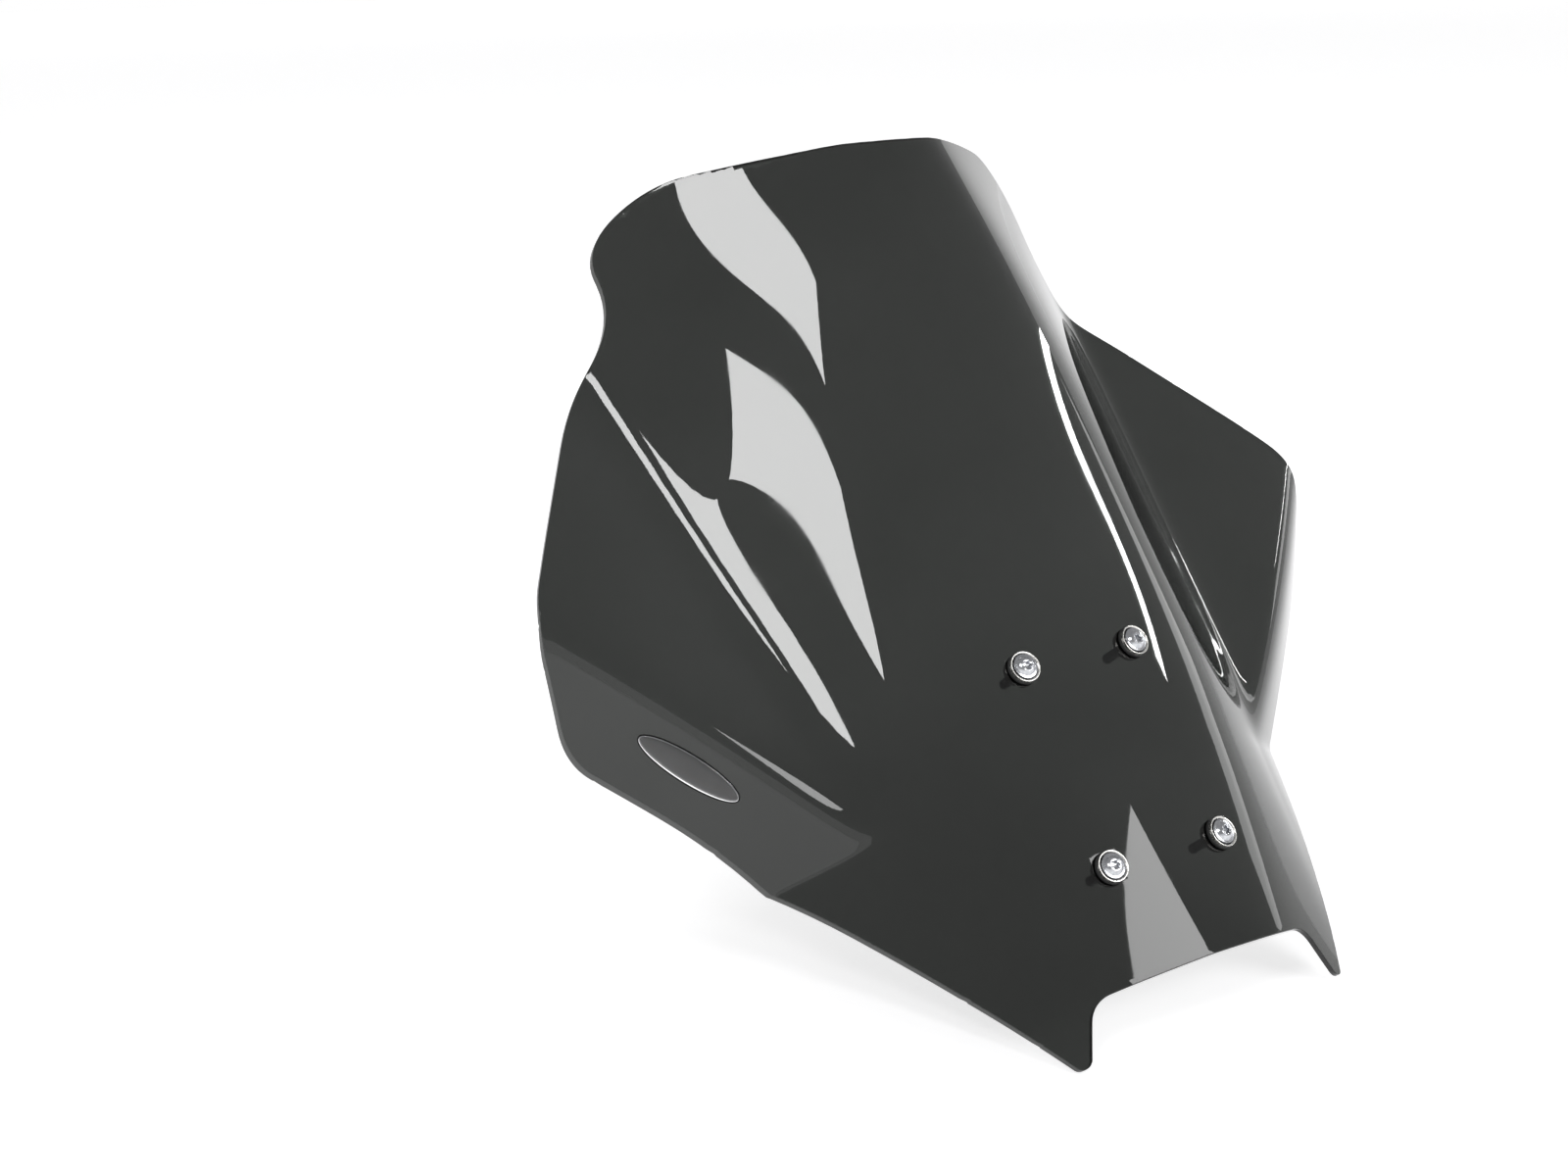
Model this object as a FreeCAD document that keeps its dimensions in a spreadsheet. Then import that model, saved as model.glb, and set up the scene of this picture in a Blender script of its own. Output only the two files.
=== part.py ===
"""Smoked acrylic windshield screen for a scooter, with its badge and four rubber-mounted fixings.

Frame: +Z up, -Y the front of the scooter, +X the rider's left, millimetres, origin at the centre
of the four fixings on the outer face of the screen.

The screen is drawn in its own panel frame: x across, w up along the panel and d out of its outer
face. The panel frame is the part frame leaned back about X, so one placement carries every piece.
"""
import math
import os

import FreeCAD
import Part
import Sketcher

V = FreeCAD.Vector

doc = FreeCAD.newDocument("windshield_screen")
sheet = doc.addObject("Spreadsheet::Sheet", "dims")

# Driving dimensions, mm, degrees and plain ratios.
DIMENSIONS = {
    # how the panel leans back from the vertical, and how thick the acrylic is
    "lean_back": 40,
    "acrylic": 3,
    # outline, one half: x across from the centre line and w up the panel. The top is set by
    # top_corner_up and shoulder_half, the wing by wing_tip_half and wing_tip_up
    "top_corner_up": 347,
    "top_dip": 33,
    "shoulder_half": 136,
    "shoulder_drop": 14,
    "top_corner_in": 31,
    "waist_drop": 57,
    "waist_in": 2,
    "wing_tip_half": 237,
    "wing_tip_up": 141,
    "wing_root_in": 69,
    "wing_root_up": 254,
    "wing_edge_in": 20,
    "wing_edge_rise": 34,
    "wing_corner_in": 8,
    "wing_side": 58,
    "flank_half": 162,
    "flank_up": 8,
    "tail_outer_half": 80,
    "tail_outer_down": 128,
    "tail_width": 5,
    "tail_slant": 1,
    "notch_side": 10,
    "notch_slant": 1,
    "lower_edge_down": 101,
    # how far each corner of the outline is rounded back along its two sides
    "top_middle_round": 60,
    "top_corner_round": 30,
    "shoulder_round": 25,
    "waist_round": 60,
    "wing_root_round": 45,
    "wing_edge_round": 60,
    "wing_corner_round": 14,
    "flank_round": 120,
    "tail_round": 5,
    "notch_round": 9,
    # centre panel: its crown radius low and high, and the kick that stands the top up
    "crown_low": 700,
    "crown_high": 410,
    "kick_slope": 0.19,
    "kick_up": 126,
    "kick_blend": 87,
    # ridge line where the centre panel turns back into the side wall
    "ridge_half": 75.5,
    "ridge_up": 88,
    "ridge_bow": 49,
    "ridge_blend": 17,
    # side wall: its steepest slope, where that is, and how much slope it loses at the tails
    "wall_slope": 0.72,
    "wall_up": 176,
    "wall_ease": 0.35,
    # wing: valley line from the wing's root down to its point, fold line from there to the tip
    "valley_top_half": 155,
    "valley_foot_half": 119,
    "valley_foot_down": 1.5,
    "valley_blend": 9,
    "fold_in": 7,
    "wing_rise": 0.56,
    "skirt_slope": 0.75,
    "fold_blend": 12,
    # fixings: a rectangle of four
    "fixing_half_across": 33.5,
    "fixing_half_up": 50,
    # screw, M5 with a flanged button head and a six-lobe socket
    "shank_radius": 2.5,
    "shank_below_head": 25,
    "shank_tip_bevel": 0.6,
    "thread_relief": 0.26,
    "flange_radius": 5.9,
    "flange_height": 1,
    "flange_step": 1.15,
    "dome_step": 1.85,
    "head_height": 2.75,
    "socket_radius": 1.55,
    "socket_lobe_radius": 0.55,
    "socket_depth": 1.6,
    # steel sleeve that stops the screw crushing the rubber
    "shank_clearance": 0.2,
    "sleeve_wall": 0.9,
    # rubber grommet in the screen's hole
    "rubber_clearance": 0.05,
    "rubber_wall": 1.5,
    "rubber_lip": 2.8,
    "grommet_front": 1.5,
    "grommet_back": 2,
    "grommet_lip_round": 0.5,
    "seat_gap": 0.2,
    # dished washer under the head
    "flange_clearance": 0.3,
    "dish_floor": 0.8,
    "dish_flare": 0.8,
    "dish_rim_width": 0.5,
    "dish_rim_height": 1.7,
    # rear washer against the scooter's carrier
    "rear_washer_cover": 2.3,
    "rear_washer_thick": 1.2,
    # badge on the near wing's skirt: how far along its lower edge, and how far in from it
    "badge_half_long": 27,
    "badge_half_wide": 7.2,
    "badge_along": 54,
    "badge_inset": 15.4,
    "badge_backing": 0.3,
    "badge_dome": 1.3,
    "badge_dome_inset": 0.5,
}


def fill_sheet():
    """Write each dimension into the sheet as plain text with its alias."""
    for row, (alias, value) in enumerate(DIMENSIONS.items(), start=1):
        sheet.set("A%d" % row, alias)
        sheet.set("B%d" % row, str(value))
        sheet.setAlias("B%d" % row, alias)
    doc.recompute()


def dim(alias):
    """The value of one cell."""
    return float(sheet.get(alias))


# ------------------------------------------------------------------ the formed shape

def ramp(t, blend):
    """Zero below t = 0 and t above it, with the corner rounded over about one blend length."""
    return 0.5 * (t + math.sqrt(t * t + blend * blend))


class PanelForm:
    """Height d of the screen's outer face over the panel plane."""

    SPREAD = 240.0       # length over which the ridge bows by ridge_bow
    EASE = 280.0         # length over which the wall loses wall_ease
    VALLEY_TOP = 260.0   # w at which valley_top_half holds
    FOLD_TOP = 130.0     # w at which the fold lies fold_in from the wing's tip
    STEP = 0.5           # half the length over which a slope is measured

    def __init__(self):
        for alias in DIMENSIONS:
            setattr(self, alias, dim(alias))
        self.valley_foot = -self.valley_foot_down
        self.top_middle_up = self.top_corner_up - self.top_dip
        self.fold_tip_half = self.wing_tip_half - self.fold_in

    def along(self, w, top_half, top_w):
        """x of a straight line from the wing's point up to (top_half, top_w)."""
        share = (w - self.valley_foot) / (top_w - self.valley_foot)
        return self.valley_foot_half + (top_half - self.valley_foot_half) * share

    def height(self, x, w):
        across = abs(x)
        crown_share = (w + self.lower_edge_down) / (self.top_middle_up + self.lower_edge_down)
        curve = 0.5 / self.crown_low + crown_share * 0.5 * (1 / self.crown_high - 1 / self.crown_low)
        ridge = self.ridge_half - self.ridge_bow * ((w - self.ridge_up) / self.SPREAD) ** 2
        wall = self.wall_slope - self.wall_ease * ((w - self.wall_up) / self.EASE) ** 2
        valley = self.along(w, self.valley_top_half, self.VALLEY_TOP)
        fold = max(valley, self.along(w, self.fold_tip_half, self.FOLD_TOP))
        kick = self.kick_slope * (ramp(w - self.kick_up, self.kick_blend)
                                  - ramp(-self.kick_up, self.kick_blend))
        drop = wall * (ramp(across - ridge, self.ridge_blend) - ramp(-ridge, self.ridge_blend))
        rise = (wall + self.wing_rise) * ramp(across - valley, self.valley_blend)
        skirt = (self.skirt_slope + self.wing_rise) * ramp(across - fold, self.fold_blend)
        return kick - curve * across * across - drop + rise - skirt

    def point(self, x, w):
        return V(x, w, self.height(x, w))

    def normal(self, x, w):
        """Unit normal of the outer face, pointing out."""
        step = self.STEP
        slope_x = (self.height(x + step, w) - self.height(x - step, w)) / (2 * step)
        slope_w = (self.height(x, w + step) - self.height(x, w - step)) / (2 * step)
        return V(-slope_x, -slope_w, 1).normalize()


fill_sheet()
FORM = PanelForm()
LEAN = FreeCAD.Placement(V(0, 0, 0), FreeCAD.Rotation(V(1, 0, 0), 90 - dim("lean_back")))

MARGIN = 14.0            # how far the faces run past the outline
GRID_STEP = 10.0         # spacing of the points that the faces pass through
TOOL_DEPTH = 260.0       # how far the cutting bodies reach behind the faces


def grid(low, high):
    """Evenly spaced stations from low to high, about GRID_STEP apart."""
    count = max(2, int(round((high - low) / GRID_STEP)))
    return [low + (high - low) * i / count for i in range(count + 1)]


def behind(inset):
    """Solid that fills everything behind the outer face, sunk by inset along its normal."""
    side = FORM.wing_tip_half + MARGIN
    rows = []
    for w in grid(-FORM.tail_outer_down - MARGIN, FORM.top_corner_up + MARGIN):
        rows.append([FORM.point(x, w) - FORM.normal(x, w) * inset for x in grid(-side, side)])
    surface = Part.BSplineSurface()
    surface.interpolate(rows)
    return surface.toShape().extrude(V(0, 0, -TOOL_DEPTH))


# ------------------------------------------------------------------ the outline

def wing_corner():
    return V(FORM.wing_tip_half - FORM.wing_corner_in, FORM.wing_tip_up - FORM.wing_side, 0)


def flank():
    return V(FORM.flank_half, FORM.flank_up, 0)


def half_outline():
    """Corners of the right half from the top middle down to the lower edge, with their rounding."""
    f = FORM
    tail_inner_half = f.tail_outer_half - f.tail_width
    return [
        (V(0, f.top_middle_up, 0), f.top_middle_round),
        (V(f.shoulder_half - f.top_corner_in, f.top_corner_up, 0), f.top_corner_round),
        (V(f.shoulder_half, f.top_corner_up - f.shoulder_drop, 0), f.shoulder_round),
        (V(f.shoulder_half - f.waist_in, f.top_corner_up - f.waist_drop, 0), f.waist_round),
        (V(f.wing_tip_half - f.wing_root_in, f.wing_root_up, 0), f.wing_root_round),
        (V(f.wing_tip_half - f.wing_edge_in, f.wing_tip_up + f.wing_edge_rise, 0),
         f.wing_edge_round),
        (V(f.wing_tip_half, f.wing_tip_up, 0), f.wing_edge_round),
        (wing_corner(), f.wing_corner_round),
        (flank(), f.flank_round),
        (V(f.tail_outer_half, -f.tail_outer_down, 0), f.tail_round),
        (V(tail_inner_half, f.tail_slant - f.tail_outer_down, 0), f.tail_round),
        (V(tail_inner_half - f.notch_side, -f.lower_edge_down - f.notch_slant, 0), f.notch_round),
        (V(0, -f.lower_edge_down, 0), 0),
    ]


def mirrored(point):
    return V(-point.x, point.y, point.z)


def rounded_wire(corners):
    """Closed wire through the corners, each one rounded by a curve tangent to both sides."""
    edges = []
    ends = []
    count = len(corners)
    for i, (corner, reach) in enumerate(corners):
        before = corners[i - 1][0] - corner
        after = corners[(i + 1) % count][0] - corner
        back = min(reach, 0.5 * before.Length, 0.5 * after.Length)
        if back == 0:
            ends.append((corner, corner))
            continue
        start = corner + before * (back / before.Length)
        finish = corner + after * (back / after.Length)
        curve = Part.BezierCurve()
        curve.setPoles([start, corner, finish])
        edges.append(curve.toShape())
        ends.append((start, finish))
    for i in range(count):
        leave = ends[i][1]
        arrive = ends[(i + 1) % count][0]
        if leave.distanceToPoint(arrive) > 1e-6:
            edges.append(Part.makeLine(leave, arrive))
    return Part.Wire(Part.__sortEdges__(edges))


def outline_prism():
    """The outline as a tall prism through the formed sheet."""
    right = half_outline()
    left = [(mirrored(p), r) for p, r in reversed(right[1:-1])]
    face = Part.Face(rounded_wire(right + left))
    face.translate(V(0, 0, -TOOL_DEPTH / 2))
    return face.extrude(V(0, 0, TOOL_DEPTH))


# ------------------------------------------------------------------ document helpers

def add_shape(label, shape, placement):
    """A feature whose shape is worked out here from the sheet."""
    feature = doc.addObject("Part::Feature", label)
    feature.Label = label
    feature.Shape = shape
    feature.Placement = placement
    return feature


def origin_feature(body, role):
    for feature in body.Origin.OriginFeatures:
        if feature.Role == role:
            return feature
    raise ValueError(role)


def new_body(label):
    body = doc.addObject("PartDesign::Body", label)
    body.Label = label
    return body


def sketch_on(body, name, role):
    sketch = body.newObject("Sketcher::SketchObject", name)
    sketch.AttachmentSupport = [(origin_feature(body, role), "")]
    sketch.MapMode = "FlatFace"
    return sketch


def total(cells):
    """Sum of the named cells; a leading minus takes one away."""
    return sum(-dim(c[1:]) if c.startswith("-") else dim(c) for c in cells.split())


def formula(cells):
    """The same sum as an expression that the sheet evaluates."""
    terms = ["-dims." + c[1:] if c.startswith("-") else "+dims." + c for c in cells.split()]
    return "0" + "".join(terms)


def minus(cells):
    """The same cells, each one taken away."""
    return "".join(" -" + c for c in cells.split())


def bind(sketch, kind, where, cells):
    """Tie one coordinate of a sketch point to a sum of cells."""
    rule = Sketcher.Constraint(kind, -1, 1, where[0], where[1], total(cells))
    index = sketch.addConstraint(rule)
    sketch.setExpression("Constraints[%d]" % index, formula(cells))


def turned_body(label, profile, domed_side=None):
    """Body of revolution about its own Z. The profile lists (radius cells, height cells) counter-
    clockwise; the side that starts at domed_side is an arc centred on the axis."""
    body = new_body(label)
    sketch = sketch_on(body, label + "_profile", "XZ_Plane")
    count = len(profile)
    at = [V(total(radius), total(height), 0) for radius, height in profile]
    for i in range(count):
        start = at[i]
        end = at[(i + 1) % count]
        if i == domed_side:
            centre_up = (end.dot(end) - start.dot(start)) / (2 * (end.y - start.y))
            centre = V(0, centre_up, 0)
            circle = Part.Circle(centre, V(0, 0, 1), (start - centre).Length)
            sketch.addGeometry(Part.ArcOfCircle(circle, circle.parameter(start),
                                                circle.parameter(end)), False)
            sketch.addConstraint(Sketcher.Constraint("PointOnObject", i, 3, -2))
        else:
            sketch.addGeometry(Part.LineSegment(start, end), False)
    for i in range(count):
        sketch.addConstraint(Sketcher.Constraint("Coincident", i, 2, (i + 1) % count, 1))
    for i, (radius, height) in enumerate(profile):
        bind(sketch, "DistanceX", (i, 1), radius)
        bind(sketch, "DistanceY", (i, 1), height)
    turn = body.newObject("PartDesign::Revolution", label + "_turn")
    turn.Profile = sketch
    turn.ReferenceAxis = (sketch, ["V_Axis"])
    turn.Angle = 360
    return body


def round_pocket(body, name, radius, offset, level, depth):
    """Round pocket whose circle lies offset along X, cut down from a level above the body's base."""
    sketch = sketch_on(body, name + "_sketch", "XY_Plane")
    sketch.setExpression("AttachmentOffset.Base.z", formula(level))
    circle = Part.Circle(V(total(offset), 0, 0), V(0, 0, 1), total(radius))
    sketch.addGeometry(circle, False)
    sketch.addConstraint(Sketcher.Constraint("PointOnObject", 0, 3, -1))
    bind(sketch, "DistanceX", (0, 3), offset)
    index = sketch.addConstraint(Sketcher.Constraint("Radius", 0, total(radius)))
    sketch.setExpression("Constraints[%d]" % index, formula(radius))
    pocket = body.newObject("PartDesign::Pocket", name)
    pocket.Profile = sketch
    pocket.setExpression("Length", formula(depth))
    return pocket


# ------------------------------------------------------------------ fixings

STACK_FOOT = "-acrylic -seat_gap -grommet_back"      # rear face of the rubber
STACK_TOP = "seat_gap grommet_front"                 # front face of the rubber
HEAD_SEAT = STACK_TOP + " dish_floor"                # underside of the screw's head
GROOVE = "acrylic seat_gap seat_gap"                 # width of the rubber's groove
GRIP = "dish_floor grommet_front grommet_back rear_washer_thick " + GROOVE
BORE = "shank_radius shank_clearance"                # radius that the shank passes through
SLEEVE = BORE + " sleeve_wall"
GROMMET_BORE = SLEEVE + " rubber_clearance"
GROMMET_NECK = GROMMET_BORE + " rubber_wall"
HOLE = GROMMET_NECK + " rubber_clearance"            # radius of the screen's holes
GROMMET_FLANGE = HOLE + " rubber_lip"
DISH_SEAT = "flange_radius flange_clearance"
DISH_INSIDE = DISH_SEAT + " dish_flare"
BUTTON = "flange_radius -flange_step"
NECK = "shank_radius -thread_relief"
SOCKET_LOBES = 6


def make_screw(label):
    """M5 screw: thread, neck, wide flange, domed button and six-lobe socket. Its base is the tip."""
    head = "shank_below_head"
    thread_top = head + minus(GRIP)
    body = turned_body(label, [
        ("", ""),
        ("shank_radius -shank_tip_bevel", ""),
        ("shank_radius", "shank_tip_bevel"),
        ("shank_radius", thread_top),
        (NECK, thread_top),
        (NECK, head),
        ("flange_radius", head),
        ("flange_radius", head + " flange_height"),
        (BUTTON, head + " flange_height"),
        (BUTTON + " -dome_step", head + " head_height"),
        ("", head + " head_height"),
    ], domed_side=8)
    level = head + " head_height"
    round_pocket(body, label + "_core", "socket_radius", "", level, "socket_depth")
    lobe = round_pocket(body, label + "_lobe", "socket_lobe_radius", "socket_radius", level,
                        "socket_depth")
    lobes = body.newObject("PartDesign::PolarPattern", label + "_lobes")
    lobes.Originals = [lobe]
    lobes.Axis = (lobe.Profile[0], ["N_Axis"])
    lobes.Angle = 360
    lobes.Occurrences = SOCKET_LOBES
    body.Tip = lobes
    return body


def make_dish_washer(label):
    """Dished steel washer: flat floor under the head, rising to a thin bright rim."""
    return turned_body(label, [
        (BORE, ""),
        (DISH_INSIDE + " dish_rim_width", ""),
        (DISH_INSIDE + " dish_rim_width", "dish_rim_height"),
        (DISH_INSIDE, "dish_rim_height"),
        (DISH_SEAT, "dish_floor"),
        (BORE, "dish_floor"),
    ])


def make_grommet(label):
    """Rubber grommet: its groove grips the edge of the screen's hole."""
    groove_foot = "grommet_back"
    groove_top = groove_foot + " " + GROOVE
    top = groove_top + " grommet_front"
    lip = "grommet_lip_round"
    return turned_body(label, [
        (GROMMET_BORE, ""),
        (GROMMET_FLANGE + " -" + lip, ""),
        (GROMMET_FLANGE, lip),
        (GROMMET_FLANGE, groove_foot),
        (GROMMET_NECK, groove_foot),
        (GROMMET_NECK, groove_top),
        (GROMMET_FLANGE, groove_top),
        (GROMMET_FLANGE, top + " -" + lip),
        (GROMMET_FLANGE + " -" + lip, top),
        (GROMMET_BORE, top),
    ])


def make_sleeve(label):
    """Steel sleeve through the rubber, as long as the rubber is tall."""
    length = "grommet_back grommet_front " + GROOVE
    return turned_body(label, [
        (BORE, ""),
        (SLEEVE, ""),
        (SLEEVE, length),
        (BORE, length),
    ])


def make_rear_washer(label):
    """Plain washer between the rubber and the scooter's carrier."""
    return turned_body(label, [
        (BORE, ""),
        (HOLE + " rear_washer_cover", ""),
        (HOLE + " rear_washer_cover", "rear_washer_thick"),
        (BORE, "rear_washer_thick"),
    ])


FIXINGS = [
    (height + "_" + side, across * dim("fixing_half_across"), up * dim("fixing_half_up"))
    for height, up in (("upper", 1), ("lower", -1))
    for side, across in (("right", -1), ("left", 1))
]

FIXING_PIECES = [
    ("screw", make_screw, HEAD_SEAT + " -shank_below_head"),
    ("dish_washer", make_dish_washer, STACK_TOP),
    ("grommet", make_grommet, STACK_FOOT),
    ("sleeve", make_sleeve, STACK_FOOT),
    ("rear_washer", make_rear_washer, STACK_FOOT + " -rear_washer_thick"),
]


def fixing_frame(x, w, out):
    """Panel-frame placement on the outer face at (x, w), with Z along its normal, moved out."""
    normal = FORM.normal(x, w)
    return FreeCAD.Placement(FORM.point(x, w) + normal * out,
                             FreeCAD.Rotation(V(0, 0, 1), normal))


def make_fixings():
    bodies = []
    for place, x, w in FIXINGS:
        for piece, make, out in FIXING_PIECES:
            body = make(place + "_" + piece)
            body.Placement = LEAN.multiply(fixing_frame(x, w, total(out)))
            bodies.append(body)
    return bodies


# ------------------------------------------------------------------ screen and badge

def tool_reach():
    """How far a drill or cutter passes each side of the outer face."""
    return 2 * FORM.acrylic


def make_screen(outer):
    """The formed acrylic sheet, trimmed to its outline and drilled for the fixings."""
    shape = outline_prism().common(outer).cut(behind(FORM.acrylic))
    reach = tool_reach()
    for _, x, w in FIXINGS:
        hole = Part.makeCylinder(total(HOLE), 2 * reach)
        hole.Placement = fixing_frame(x, w, -reach)
        shape = shape.cut(hole)
    return add_shape("screen", shape.Solids[0], LEAN)


def badge_frame():
    """On the near wing's skirt, with X along the skirt's lower edge."""
    edge = mirrored(wing_corner() - flank()).normalize()
    inward = V(edge.y, -edge.x, 0)
    centre = mirrored(flank()) + edge * FORM.badge_along + inward * FORM.badge_inset
    turn = FreeCAD.Rotation(V(1, 0, 0), edge)
    return fixing_frame(centre.x, centre.y, 0).multiply(FreeCAD.Placement(V(0, 0, 0), turn))


def badge_prism(inset):
    """Oval prism through the skirt, square to its face, with the badge's outline set in by inset."""
    reach = tool_reach()
    oval = Part.Ellipse(V(0, 0, 0), FORM.badge_half_long - inset, FORM.badge_half_wide - inset)
    face = Part.Face(Part.Wire([oval.toShape()]))
    face.translate(V(0, 0, -reach))
    prism = face.extrude(V(0, 0, 2 * reach))
    prism.Placement = badge_frame()
    return prism


def make_badge(outer):
    """Plain oval badge: a thin backing that follows the skirt and a clear dome on it."""
    backing_top = behind(-FORM.badge_backing)
    backing = badge_prism(0).common(backing_top).cut(outer)
    ball = Part.makeSphere(1.0)
    stretch = FreeCAD.Matrix()
    stretch.scale(FORM.badge_half_long, FORM.badge_half_wide,
                  FORM.badge_backing + FORM.badge_dome)
    lens = ball.transformGeometry(stretch)
    lens.Placement = badge_frame()
    dome = lens.common(badge_prism(FORM.badge_dome_inset)).cut(backing_top)
    return [
        add_shape("badge_backing", backing.Solids[0], LEAN),
        add_shape("badge_dome", dome.Solids[0], LEAN),
    ]


# ------------------------------------------------------------------ build, check and export

def check_document():
    """Stop if any object failed to build."""
    for item in doc.Objects:
        states = [state for state in item.State if state in ("Invalid", "Error")]
        if states:
            raise RuntimeError("%s: %s" % (item.Label, states))


def export(pieces):
    os.makedirs("parts", exist_ok=True)
    for piece in pieces:
        if piece.Shape.isNull() or not piece.Shape.isValid():
            raise RuntimeError("bad shape: " + piece.Label)
        piece.Shape.exportStep("parts/" + piece.Label + ".step")


outer_body = behind(0)
pieces = [make_screen(outer_body)] + make_badge(outer_body) + make_fixings()
doc.recompute()
check_document()
export(pieces)
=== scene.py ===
"""Smoked acrylic windshield screen for a scooter, with its oval badge and four rubber-mounted
fixings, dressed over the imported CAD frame. Metres throughout."""
import math

import bmesh
import bpy
from mathutils import Matrix, Vector


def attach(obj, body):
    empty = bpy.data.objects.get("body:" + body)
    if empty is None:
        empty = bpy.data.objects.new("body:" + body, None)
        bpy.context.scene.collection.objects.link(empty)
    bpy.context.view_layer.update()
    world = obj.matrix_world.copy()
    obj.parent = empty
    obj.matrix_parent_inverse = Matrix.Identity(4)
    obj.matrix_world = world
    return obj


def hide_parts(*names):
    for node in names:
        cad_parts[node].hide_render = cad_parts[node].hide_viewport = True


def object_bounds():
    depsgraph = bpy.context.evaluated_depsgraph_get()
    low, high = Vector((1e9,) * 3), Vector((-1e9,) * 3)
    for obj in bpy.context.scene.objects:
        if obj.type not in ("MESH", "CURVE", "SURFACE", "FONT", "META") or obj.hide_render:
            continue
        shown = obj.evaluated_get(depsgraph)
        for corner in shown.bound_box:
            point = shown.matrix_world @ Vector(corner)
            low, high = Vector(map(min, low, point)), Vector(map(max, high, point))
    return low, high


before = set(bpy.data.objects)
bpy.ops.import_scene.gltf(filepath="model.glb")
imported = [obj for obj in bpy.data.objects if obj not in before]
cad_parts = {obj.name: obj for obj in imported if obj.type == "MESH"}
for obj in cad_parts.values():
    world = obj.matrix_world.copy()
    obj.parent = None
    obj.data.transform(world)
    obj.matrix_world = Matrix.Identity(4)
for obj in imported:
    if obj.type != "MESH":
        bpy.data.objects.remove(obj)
cad_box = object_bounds()
scene = bpy.context.scene
scene.view_settings.view_transform = "Standard"

# ---------------------------------------------------------------------------- camera
# Stands low in front of the screen's near side, turned a third of the way round from the front,
# and looks slightly down on it.

AZIMUTH = math.radians(-32.63)
ELEVATION = math.radians(16.01)
ROLL = math.radians(-1.56)
LENS = 49.13                                   # mm
SENSOR_WIDTH = 36                              # mm
TARGET = Vector((0.15746, -0.0754, -0.99428))  # the screen's origin in the camera's own axes
NEAREST = 0.05
FARTHEST = 300

camera_data = bpy.data.cameras.new("camera")
camera_data.lens = LENS
camera_data.sensor_width = SENSOR_WIDTH
camera_data.clip_start = NEAREST
camera_data.clip_end = FARTHEST
camera = bpy.data.objects.new("camera", camera_data)
aim = (Matrix.Rotation(AZIMUTH, 3, "Z") @ Matrix.Rotation(math.radians(90) - ELEVATION, 3, "X")
       @ Matrix.Rotation(ROLL, 3, "Z"))
camera.matrix_world = Matrix.Translation(-(aim @ TARGET)) @ aim.to_4x4()
scene.collection.objects.link(camera)
scene.camera = camera

# ---------------------------------------------------------------------------- studio
# Wide pale floor that keeps a soft shadow, a dim ceiling above, softboxes over the near side and
# in front, and a tube lamp and a pale board on the far side.

FLOOR_HALF = 60.0
FLOOR_DROP = 0.002                             # below the screen's tails
FLOOR_COLOUR = (0.82, 0.82, 0.83, 1)
FLOOR_GLOW = 0.66
CEILING_HEIGHT = 6.0
CEILING_HALF = 22.0
CEILING_COLOUR = (0.2, 0.2, 0.2, 1)
CEILING_GLOW = 0.25
WORLD_LIGHT = 0.45
LAMP_DISTANCE = 5.0


def new_material(name):
    """Material with its Principled shader; returns the material, its node tree and the shader."""
    material = bpy.data.materials.new(name)
    material.use_nodes = True
    tree = material.node_tree
    return material, tree, tree.nodes["Principled BSDF"]


def new_object(name, bm, material):
    """Object at the origin from a finished bmesh, shaded smooth."""
    mesh = bpy.data.meshes.new(name)
    bm.to_mesh(mesh)
    bm.free()
    mesh.materials.append(material)
    for polygon in mesh.polygons:
        polygon.use_smooth = True
    piece = bpy.data.objects.new(name, mesh)
    scene.collection.objects.link(piece)
    return piece


def seen_directly(tree):
    """1 for camera, glossy and transmission rays, 0 for the rays that light the object."""
    path = tree.nodes.new("ShaderNodeLightPath")
    first = tree.nodes.new("ShaderNodeMath")
    first.operation = "MAXIMUM"
    second = tree.nodes.new("ShaderNodeMath")
    second.operation = "MAXIMUM"
    tree.links.new(path.outputs["Is Camera Ray"], first.inputs[0])
    tree.links.new(path.outputs["Is Glossy Ray"], first.inputs[1])
    tree.links.new(first.outputs[0], second.inputs[0])
    tree.links.new(path.outputs["Is Transmission Ray"], second.inputs[1])
    return second.outputs[0]


def flat_square(name, half, height, material, turned_down=False):
    """Level square centred on the Z axis, facing up or turned to face down."""
    bm = bmesh.new()
    bmesh.ops.create_grid(bm, x_segments=1, y_segments=1, size=half)
    bmesh.ops.translate(bm, verts=bm.verts, vec=(0, 0, height))
    if turned_down:
        bmesh.ops.reverse_faces(bm, faces=bm.faces)
    return new_object(name, bm, material)


floor_material, tree, shader = new_material("studio_floor")
shader.inputs["Base Color"].default_value = FLOOR_COLOUR
shader.inputs["Roughness"].default_value = 0.9
shader.inputs["Emission Color"].default_value = (1, 1, 1, 1)
glow = tree.nodes.new("ShaderNodeMath")
glow.operation = "MULTIPLY"
glow.inputs[1].default_value = FLOOR_GLOW
tree.links.new(seen_directly(tree), glow.inputs[0])
tree.links.new(glow.outputs[0], shader.inputs["Emission Strength"])
floor = flat_square("studio_floor", FLOOR_HALF, cad_box[0].z - FLOOR_DROP, floor_material)

ceiling_material, tree, shader = new_material("studio_ceiling")
shader.inputs["Base Color"].default_value = CEILING_COLOUR
shader.inputs["Emission Color"].default_value = (1, 1, 1, 1)
shader.inputs["Emission Strength"].default_value = CEILING_GLOW
ceiling = flat_square("studio_ceiling", CEILING_HALF, CEILING_HEIGHT, ceiling_material, True)

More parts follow.
